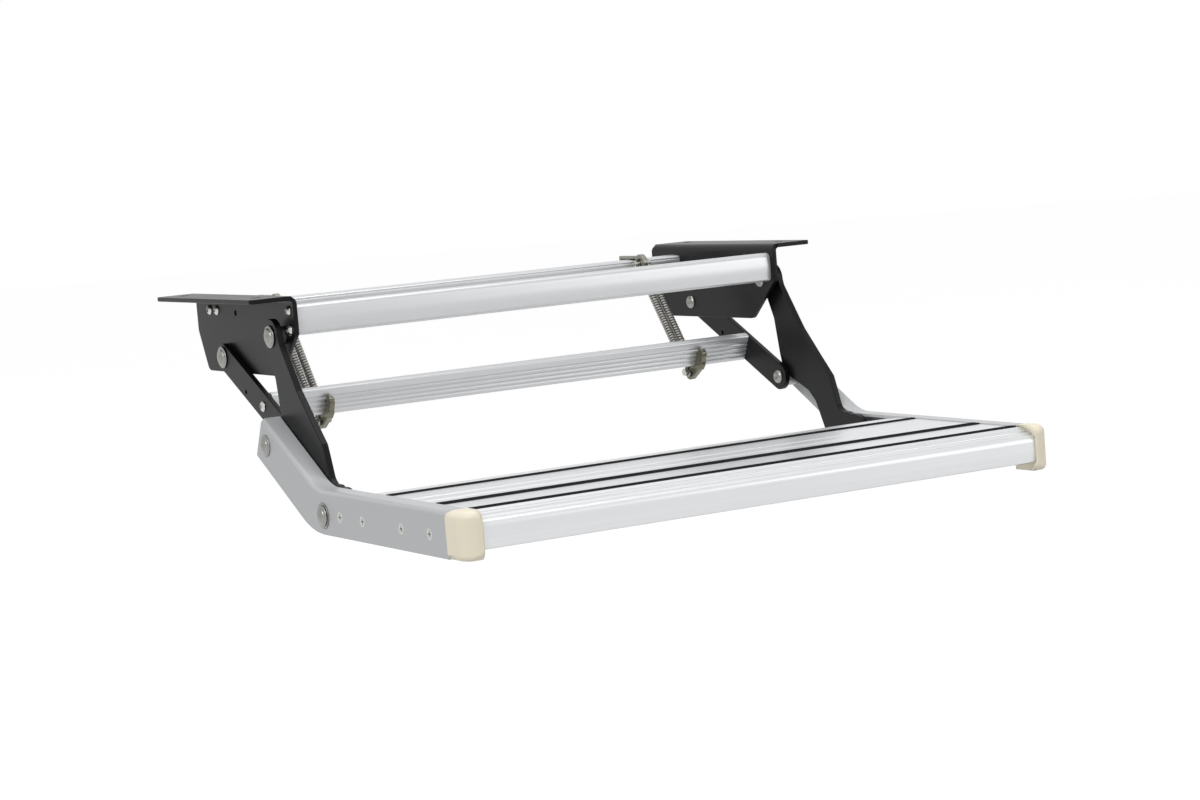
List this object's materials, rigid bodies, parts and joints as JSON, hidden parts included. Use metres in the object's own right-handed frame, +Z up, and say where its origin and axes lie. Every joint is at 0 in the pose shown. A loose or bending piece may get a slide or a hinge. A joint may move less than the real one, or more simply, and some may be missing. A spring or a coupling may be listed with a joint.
{
  "type": "pull-out entrance step",
  "caption": "Single pull-out entrance step for a caravan: ribbed aluminium tread in folded brackets, swinging arms, spring pairs and side plates with flanges to bolt under the floor.",
  "frame": {"origin": "middle of the four mounting holes, on the top face of the two flanges", "axes": "+X to the right seen from the nose, -Y out towards the user, +Z up"},
  "size_m": [0.578, 0.5895, 0.1985],
  "materials": {
    "black_steel": "semi-gloss black powder coat",
    "grey_steel": "satin light grey paint",
    "aluminium": "satin anodised, fine lines along the extrusion",
    "rubber": "matt black",
    "cream_plastic": "slightly translucent cream moulding",
    "pin_steel": "dull zinc plating",
    "bright_steel": "bright stainless",
    "olive_zinc": "olive passivated zinc",
    "spring_steel": "bare drawn wire"
  },
  "bodies": {
    "frame": {"side_plate_left": "black_steel", "side_plate_right": "black_steel", "front_crossbar": "aluminium", "rear_crossbar": "aluminium", "pins_a": "pin_steel", "pins_b": "pin_steel", "washers_a": "pin_steel", "bushes_b": "pin_steel", "frame_screws": "pin_steel", "upper_hooks": "olive_zinc", "upper_spring_pins": "pin_steel"},
    "rear_arms": {"rear_arm_left": "black_steel", "rear_arm_right": "black_steel", "lower_crossbar": "aluminium", "arm_screws": "pin_steel", "lower_hooks": "olive_zinc", "lower_spring_pins": "pin_steel", "pins_c_inner": "pin_steel"},
    "front_arms": {"front_arm_left": "black_steel", "front_arm_right": "black_steel"},
    "step": {"bracket_left": "grey_steel", "bracket_right": "grey_steel", "tread": "aluminium", "grip_strips": "rubber", "end_cap_left": "cream_plastic", "end_cap_right": "cream_plastic", "pins_c_outer": "pin_steel", "pins_d": "pin_steel", "spacers_d": "pin_steel", "washers_d": "pin_steel", "tread_screws": "bright_steel"},
    "springs": {"springs": "spring_steel"}
  },
  "joints": [
    {"name": "fold", "type": "hinge", "parent": "frame", "child": "rear_arms", "pos_m": [0, 0.044, -0.0575], "axis": [1, 0, 0], "range_deg": [0, 113]},
    {"name": "front_arm_swing", "type": "hinge", "parent": "frame", "child": "front_arms", "pos_m": [0, -0.087, -0.035], "axis": [1, 0, 0], "range_deg": [0, 82.6]},
    {"name": "step_turn", "type": "hinge", "parent": "front_arms", "child": "step", "pos_m": [0, -0.211, -0.181], "axis": [1, 0, 0], "range_deg": [-100.88, 0]},
    {"name": "spring_swing", "type": "hinge", "parent": "frame", "child": "springs", "pos_m": [0, 0.05, -0.014], "axis": [1, 0, 0], "range_deg": [0, 79.54], "deforming": ["springs"]}
  ],
  "couplings": [
    {"joint": "front_arm_swing", "follows": "fold", "ratio": 0.73092},
    {"joint": "step_turn", "follows": "fold", "ratio": -0.89268},
    {"joint": "spring_swing", "follows": "fold", "ratio": 0.70381}
  ]
}
